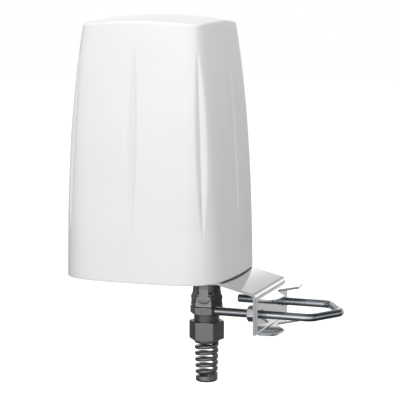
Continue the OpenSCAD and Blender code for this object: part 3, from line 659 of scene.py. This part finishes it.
# Radii and heights in millimetres: the neck and its collar, and the lower end with the bore
ADAPTER_NECK = (
    (11.5, 16), (12.5, 15), (12.5, 0), (12.5, -0.4), (14.6, -0.4), (14.9, -0.7), (14.9, -2.6),
    (14.6, -3),
)
ADAPTER_END = ((12.6, -30.7), (8.5, -30.7), (8.5, 16))
GRIP_TOP, GRIP_LOW = -3.0 * MM, -30.6 * MM
ADAPTER_N, GRIP_LEVELS = 432, 150


def build_adapter():
    rings = [circle(radius * MM, z * MM, ADAPTER_N) for radius, z in ADAPTER_NECK]
    for i in range(GRIP_LEVELS + 1):
        z = GRIP_TOP + (GRIP_LOW - GRIP_TOP) * i / GRIP_LEVELS
        ring = []
        for j in range(ADAPTER_N):
            a = TAU * j / ADAPTER_N
            r = adapter_radius(a, z)
            ring.append((r * math.cos(a), r * math.sin(a), z))
        rings.append(ring)
    rings += [circle(radius * MM, z * MM, ADAPTER_N) for radius, z in ADAPTER_END]
    piece = loft("gland_adapter_body", rings, closed=True)
    sharpen(piece, 40)
    return at_gland(piece)


def in_mm(levels):
    """Levels given in millimetres, whose missing half flats stay None."""
    return [tuple(v if v is None else v * MM for v in level) for level in levels]


# Heights and radii in millimetres
FLANGE_HALF = 13.7
FLANGE_LEDGE = ((-30.72, None, 12.8), (-31.0, None, 13.2), (-31.2, None, 13.5))
FLANGE_TOP, FLANGE_LOW = -31.22, -38.4
FLANGE_TOP_CUT, FLANGE_LOW_CUT = 0.45, 0.7
FLANGE_CONE, FLANGE_REACH = 13.6, 2.3
FLANGE_STEPS = 8
GLAND_BORE = ((-54, 8.9), (-44, 9.6), (-43, 8.5), (-30.72, 8.5))
GLAND_THREAD_TOP, GLAND_THREAD_LOW, GLAND_PITCH = -38.7, -49, 1.5
# One ridge: how far below its top, and the radius there
GLAND_RIDGE = ((0.0, 11.55), (0.25, 11.55), (0.62, 12.0), (0.88, 12.0), (1.25, 11.55))
GLAND_STEM = ((-49.2, None, 10.7), (-54, None, 10.7))


def thread_levels():
    """Ridges of the thread that shows above the dome nut, then the plain stem inside it."""
    levels = []
    z = GLAND_THREAD_TOP
    while z > GLAND_THREAD_LOW:
        levels += [(z - dz, None, r) for dz, r in GLAND_RIDGE]
        z -= GLAND_PITCH
    return levels + list(GLAND_STEM)


def build_gland_body():
    outer = list(FLANGE_LEDGE)
    for i in range(FLANGE_STEPS + 1):
        part = i / FLANGE_STEPS
        z = FLANGE_TOP - FLANGE_TOP_CUT * part
        outer.append((z, FLANGE_HALF, FLANGE_CONE + FLANGE_REACH * part))
    for i in range(FLANGE_STEPS + 1):
        part = 1 - i / FLANGE_STEPS
        z = FLANGE_LOW + FLANGE_LOW_CUT * part
        outer.append((z, FLANGE_HALF, FLANGE_CONE + FLANGE_REACH * part))
    outer += [(FLANGE_LOW - 0.02, None, 11.75)] + thread_levels()
    piece = turned_hex(
        "gland_body_hexagon", in_mm(outer), in_mm(GLAND_BORE), FLANGE_TURN, 0.35 * MM
    )
    sharpen(piece, 40)
    return at_gland(piece)


# Heights and radii in millimetres
DOME_HALF = 14.3
DOME_TOP, DOME_LOW = -45.2, -62.6
DOME_CUT, DOME_CONE, DOME_REACH = 0.5, 14.25, 2.3
DOME_MOUTH_R, DOME_END_R = 12.6, 13.4
DOME_STEPS, DOME_SIDE_STEPS = 12, 6
DOME_BORE = (
    (DOME_LOW, 9.6), (DOME_LOW + 0.3, 9.3), (DOME_LOW + 1.3, 9.3), (DOME_LOW + 1.3, 10.9),
    (-56.8, 10.9), (-56.8, 12.1), (DOME_TOP - 0.4, 12.1),
)


def build_dome_nut():
    outer = [(DOME_TOP, None, DOME_MOUTH_R)]
    for i in range(DOME_STEPS + 1):
        part = i / DOME_STEPS
        z = DOME_TOP - 0.02 - DOME_CUT * part
        outer.append((z, DOME_HALF, DOME_CONE + DOME_REACH * part))
    side = DOME_TOP - DOME_LOW - 2 * DOME_CUT
    for i in range(1, DOME_SIDE_STEPS):
        z = DOME_TOP - DOME_CUT - side * i / DOME_SIDE_STEPS
        outer.append((z, DOME_HALF, DOME_CONE + DOME_REACH))
    for i in range(DOME_STEPS + 1):
        part = 1 - i / DOME_STEPS
        z = DOME_LOW + 0.02 + DOME_CUT * part
        outer.append((z, DOME_HALF, DOME_CONE + DOME_REACH * part))
    outer += [(DOME_LOW, None, DOME_END_R)]
    piece = turned_hex("dome_nut_body", in_mm(outer), in_mm(DOME_BORE), DOME_TURN, 0.3 * MM)
    sharpen(piece, 35)
    return at_gland(piece)


def turned_ring(name, profile, n=96):
    return loft(name, [circle(r, z, n) for r, z in profile], closed=True)


COLLAR_TOP, COLLAR_LOW = -62.6 * MM, -66.0 * MM
END_TOP, END_LOW = -98.0 * MM, -102.6 * MM
SPIRAL_BORE = 6.9 * MM
SPIRAL_R_TOP, SPIRAL_R_LOW = 11.35 * MM, 10.3 * MM
SPIRAL_PITCH, RIBBON_H = 5.8 * MM, 3.4 * MM
# How far the ribbon's ends stay inside its end ring and collar
RIBBON_SUNK = 1.95 * MM
# The ribbon's section is a rectangle with round corners: an oval of this power
RIBBON_POWER = 0.6
RIBBON_N, RIBBON_STEPS_A_TURN = 28, 72
RIBBON_START = 0.5


def ribbon_section():
    """Places in the ribbon's section: share of its width, and height from its middle."""
    section = []
    for k in range(RIBBON_N):
        a = TAU * k / RIBBON_N
        c, s = math.cos(a), math.sin(a)
        section.append((
            (1 + math.copysign(abs(c) ** RIBBON_POWER, c)) / 2,
            math.copysign(abs(s) ** RIBBON_POWER, s) * RIBBON_H / 2,
        ))
    return section


def build_ribbon():
    z_from, z_to = END_TOP - RIBBON_SUNK, COLLAR_LOW + RIBBON_SUNK
    turns = (z_to - z_from) / SPIRAL_PITCH
    steps = int(turns * RIBBON_STEPS_A_TURN)
    taper = (SPIRAL_R_TOP - SPIRAL_R_LOW) / (COLLAR_LOW - END_TOP)
    section = ribbon_section()
    rings = []
    for i in range(steps + 1):
        z = z_from + (z_to - z_from) * i / steps
        a = TAU * (turns * i / steps + RIBBON_START)
        width = SPIRAL_R_LOW + taper * (z - END_TOP) - SPIRAL_BORE
        ring = []
        for p, q in section:
            r = SPIRAL_BORE + width * p
            ring.append((r * math.cos(a), r * math.sin(a), z + q))
        rings.append(ring)
    return loft("ribbon", rings)


def build_bend_spiral():
    bore, r_low, e = SPIRAL_BORE, SPIRAL_R_LOW, 0.5 * MM
    collar = turned_ring("collar", [
        (bore, COLLAR_TOP), (11.6 * MM, COLLAR_TOP), (11.6 * MM, COLLAR_LOW + 1.2 * MM),
        (11.3 * MM, COLLAR_LOW + e), (10.7 * MM, COLLAR_LOW), (bore + e, COLLAR_LOW),
    ])
    end_ring = turned_ring("end_ring", [
        (bore + e, END_TOP), (r_low - 0.8 * MM, END_TOP), (r_low - 0.2 * MM, END_TOP - 0.2 * MM),
        (r_low, END_TOP - 0.8 * MM), (r_low, END_LOW + 1.3 * MM),
        (r_low - 0.25 * MM, END_LOW + 0.6 * MM), (r_low - 0.9 * MM, END_LOW + 0.1 * MM),
        (r_low - 1.4 * MM, END_LOW), (bore + e, END_LOW), (bore, END_LOW + e), (bore, END_TOP - e),
    ])
    whole = joined("bend_spiral_body", [build_ribbon(), collar, end_ring])
    whole.data.shade_smooth()
    sharpen(whole, 50)
    return at_gland(whole)


# ---------------------------------------------------------------- U-bolt

ROD_R = 3.55 * MM
ROD_N = 32
LEG_Y = 32.35 * MM
# Corners of the centre line, from the radome's axis, and the radii of its bends
SHOULDER_X, TIP_X = AXIS_X + 154.2 * MM, AXIS_X + 173.5 * MM
SHOULDER_R, TIP_R = 11 * MM, 9 * MM
LEG_STEP, SIDE_STEP = 0.104 * MM, 1.0 * MM
SHOULDER_STEPS, TIP_STEPS = 24, 16
END_CHAMFER = 0.8 * MM
THREAD_R = 3.95 * MM
THREAD_PITCH = 1.25 * MM
THREAD_DEPTH = 0.55 * MM
THREAD_LENGTH = 50 * MM
THREAD_RUNOUT = 2 * MM


def u_bolt_path():
    """Half of the rod's centre line, from the end of the leg to the middle of the tip."""
    points = []

    def line(a, b, step):
        n = max(1, round((b - a).length / step))
        for i in range(n):
            points.append(a + (b - a) * i / n)

    shoulder, tip = Vector((SHOULDER_X, LEG_Y)), Vector((TIP_X, 0))
    turn = math.atan2(LEG_Y, TIP_X - SHOULDER_X)
    start = Vector((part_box("u_bolt")[0].x, LEG_Y))
    bend_from = Vector((SHOULDER_X - SHOULDER_R * math.tan(turn / 2), LEG_Y))
    line(start, bend_from, LEG_STEP)
    centre = bend_from - Vector((0, SHOULDER_R))
    for i in range(SHOULDER_STEPS):
        a = TAU / 4 - turn * i / SHOULDER_STEPS
        points.append(centre + SHOULDER_R * Vector((math.cos(a), math.sin(a))))
    down = Vector((math.cos(turn), -math.sin(turn)))
    side_from = shoulder + down * SHOULDER_R * math.tan(turn / 2)
    side_to = tip - down * TIP_R / math.tan(turn)
    line(side_from, side_to, SIDE_STEP)
    centre = Vector((TIP_X - TIP_R / math.sin(turn), 0))
    for i in range(TIP_STEPS + 1):
        a = (TAU / 4 - turn) * (1 - i / TIP_STEPS)
        points.append(centre + TIP_R * Vector((math.cos(a), math.sin(a))))
    return points


def rod_radius(along, angle):
    """Radius of the rod at a place on a leg, with the rolled thread that stands out
    near its end."""
    phase = (along / THREAD_PITCH + angle / TAU) % 1.0
    tooth = abs(phase - 0.5) * 2
    fade = smooth_step((THREAD_LENGTH - along) / THREAD_RUNOUT)
    threaded = THREAD_R - THREAD_DEPTH * smooth_step(tooth * 1.6 - 0.3)
    return ROD_R + (threaded - ROD_R) * fade


def build_u_bolt():
    half = u_bolt_path()
    points = half + [Vector((p.x, -p.y)) for p in reversed(half[:-1])]
    along = [0.0]
    for a, b in zip(points, points[1:]):
        along.append(along[-1] + (b - a).length)
    total = along[-1]
    rings = []
    for i, p in enumerate(points):
        ahead = points[min(i + 1, len(points) - 1)]
        behind = points[max(i - 1, 0)]
        way = (ahead - behind).normalized()
        side = Vector((way.y, -way.x))
        from_end = min(along[i], total - along[i])
        chamfer = max(0.0, END_CHAMFER - from_end)
        ring = []
        for j in range(ROD_N):
            a = TAU * j / ROD_N
            r = rod_radius(from_end, a if along[i] < total / 2 else -a) - chamfer
            flat = side * (r * math.cos(a))
            ring.append((p.x + flat.x, p.y + flat.y, ROD_Z + r * math.sin(a)))
        rings.append(ring)
    piece = loft("u_bolt_rod", rings)
    sharpen(piece, 50)
    return piece


# ---------------------------------------------------------------- camera, lights and floor

CAMERA_AZIMUTH = math.radians(21.32)
CAMERA_PITCH = math.radians(7.72)
CAMERA_YAW = math.radians(1.42)
CAMERA_DISTANCE = 1.44204
CAMERA_HEIGHT = 0.26064
FOCAL_LENGTH = 140.77
SENSOR_WIDTH = 36


def make_camera():
    data = bpy.data.cameras.new("camera")
    data.lens = FOCAL_LENGTH
    data.sensor_width = SENSOR_WIDTH
    data.clip_start = 0.05
    camera = bpy.data.objects.new("camera", data)
    bpy.context.scene.collection.objects.link(camera)
    s, c = math.sin(CAMERA_AZIMUTH), math.cos(CAMERA_AZIMUTH)
    camera.location = (
        AXIS_X + s * CAMERA_DISTANCE, -c * CAMERA_DISTANCE, RIM_Z + CAMERA_HEIGHT
    )
    inward, across, up = Vector((-s, c, 0)), Vector((c, s, 0)), Vector((0, 0, 1))
    heading = inward * math.cos(CAMERA_YAW) + across * math.sin(CAMERA_YAW)
    forward = heading * math.cos(CAMERA_PITCH) - up * math.sin(CAMERA_PITCH)
    camera.rotation_mode = "QUATERNION"
    camera.rotation_quaternion = forward.to_track_quat("-Z", "Y")
    bpy.context.scene.camera = camera


def area_light(name, place, aim, width, height, power):
    """A soft light that isn't itself seen, in the picture or in reflections."""
    data = bpy.data.lights.new(name, "AREA")
    data.shape = "RECTANGLE"
    data.size, data.size_y = width, height
    data.energy = power
    light = bpy.data.objects.new(name, data)
    bpy.context.scene.collection.objects.link(light)
    light.location = place
    light.rotation_mode = "QUATERNION"
    light.rotation_quaternion = (Vector(aim) - Vector(place)).to_track_quat("-Z", "Y")
    light.visible_camera = False
    light.visible_glossy = False


# Brightness of the studio by the height of a direction
STUDIO_HEIGHTS = (
    (-1.0, 0.1), (-0.5, 0.14), (-0.3, 0.32), (-0.13, 0.52), (0.0, 0.88), (0.1, 1.0), (0.2, 0.9),
    (0.3, 0.4), (0.4, 0.27), (0.6, 0.22), (1.0, 0.22),
)
# Its strength from front (-1) to back (1), and what is added to that from left to right
STUDIO_DEPTHS = (
    (-1.0, 1.0), (-0.85, 0.9), (-0.5, 0.3), (0.0, 0.09), (0.5, 0.1), (0.65, 0.34), (0.78, 0.55),
    (1.0, 0.56),
)
STUDIO_SIDES = (
    (-1.0, 0.0), (-0.7, 0.0), (-0.48, 0.24), (-0.22, 0.24), (0.02, 0.04), (0.1, 0.0),
    (0.93, 0.0), (0.975, 0.4), (1.0, 0.45),
)
STUDIO_STRENGTH = 2.2


def ramp_of(nodes, links, value, stops):
    """A smooth ramp of greys over values from -1 to 1."""
    ramp = nodes.new("ShaderNodeValToRGB")
    ramp.color_ramp.interpolation = "EASE"
    while len(ramp.color_ramp.elements) < len(stops):
        ramp.color_ramp.elements.new(0.5)
    for element, (level, grey) in zip(ramp.color_ramp.elements, stops):
        element.position = (level + 1) / 2
        element.color = (grey, grey, grey, 1)
    links.new(remap(nodes, links, value, -1, 1, 0, 1), ramp.inputs["Fac"])
    return ramp.outputs["Color"]


def make_world():
    """A bright band at eye level, brightest in front, dark above and below.
    The camera itself sees plain white."""
    world = bpy.data.worlds.new("studio")
    bpy.context.scene.world = world
    world.use_nodes = True
    nodes, links = world.node_tree.nodes, world.node_tree.links
    coords = nodes.new("ShaderNodeTexCoord")
    split = nodes.new("ShaderNodeSeparateXYZ")
    links.new(coords.outputs["Generated"], split.inputs["Vector"])
    heights = ramp_of(nodes, links, split.outputs["Z"], STUDIO_HEIGHTS)
    depths = ramp_of(nodes, links, split.outputs["Y"], STUDIO_DEPTHS)
    sides = ramp_of(nodes, links, split.outputs["X"], STUDIO_SIDES)
    around = nodes.new("ShaderNodeMath")
    around.operation = "ADD"
    links.new(depths, around.inputs[0])
    links.new(sides, around.inputs[1])
    strength = nodes.new("ShaderNodeMath")
    strength.operation = "MULTIPLY"
    links.new(around.outputs["Value"], strength.inputs[0])
    strength.inputs[1].default_value = STUDIO_STRENGTH
    studio = nodes["Background"]
    links.new(heights, studio.inputs["Color"])
    links.new(strength.outputs["Value"], studio.inputs["Strength"])
    white = nodes.new("ShaderNodeBackground")
    white.inputs["Color"].default_value = (1, 1, 1, 1)
    rays = nodes.new("ShaderNodeLightPath")
    either = nodes.new("ShaderNodeMixShader")
    links.new(rays.outputs["Is Camera Ray"], either.inputs["Fac"])
    links.new(studio.outputs["Background"], either.inputs[1])
    links.new(white.outputs["Background"], either.inputs[2])
    links.new(either.outputs["Shader"], nodes["World Output"].inputs["Surface"])


FLOOR_DROP = 0.45
FLOOR_HALF = 12
PAPER_GREY = (0.9, 0.9, 0.9, 1)
# Name, place, width, height and power in watts
LIGHTS = (
    ("key", (0.35, -2.5, 1.2), 1.6, 1.4, 20),
    ("top", (-0.4, -0.2, 1.9), 1.4, 1.4, 25),
    ("right_fill", (2.3, -0.3, 0.7), 1.2, 1.2, 11),
)


def floor_paper():
    paper = bpy.data.materials.new("floor_paper")
    paper.use_nodes = True
    shader = paper.node_tree.nodes["Principled BSDF"]
    shader.inputs["Base Color"].default_value = PAPER_GREY
    shader.inputs["Roughness"].default_value = 0.9
    shader.inputs["Emission Color"].default_value = (1, 1, 1, 1)
    shader.inputs["Emission Strength"].default_value = 0.9
    return paper


def make_stage():
    z = cad_low.z - FLOOR_DROP
    corners = [(-1, -1), (1, -1), (1, 1), (-1, 1)]
    verts = [(x * FLOOR_HALF, y * FLOOR_HALF, z) for x, y in corners]
    floor = new_object("floor", verts, [(0, 1, 2, 3)], False)
    floor.data.materials.append(floor_paper())
    floor.visible_diffuse = False
    floor.visible_glossy = False
    make_world()
    centre = (cad_low + cad_high) / 2
    for name, place, width, height, power in LIGHTS:
        area_light(name, place, centre, width, height, power)
    bpy.context.scene.view_settings.view_transform = "Standard"


# ---------------------------------------------------------------- assembly

# Node, piece and the rounding of its edges, then its slot
SOFTENED = (
    ("u_bolt_washers", "rod_washers", 0.25 * MM, "zinc_screws"),
    ("bracket", "bracket_sheet", 0.8 * MM, "zinc_sheet"),
    ("clamp_jaw", "jaw_sheet", 0.25 * MM, "zinc_sheet"),
)


def main():
    make_camera()
    dress_cad_nodes()
    take_over(build_radome(), "radome", "housing", "radome_white")
    take_over(build_adapter(), "gland_adapter", "housing", "gland_black")
    take_over(build_gland_body(), "gland_body", "housing", "gland_black")
    take_over(build_dome_nut(), "dome_nut", "dome_nut", "gland_black")
    take_over(build_bend_spiral(), "bend_spiral", "dome_nut", "gland_black")
    take_over(build_u_bolt(), "u_bolt", "u_bolt", "zinc_rod")
    for side in ("front", "rear"):
        node = "u_bolt_nut_" + side
        take_over(build_rod_nut(node, side + "_nut"), node, "nut_" + side, "zinc_screws")
    for node, name, rounding, slot in SOFTENED:
        take_over(softened(node, name, rounding), node, "housing", slot)
    make_stage()


main()
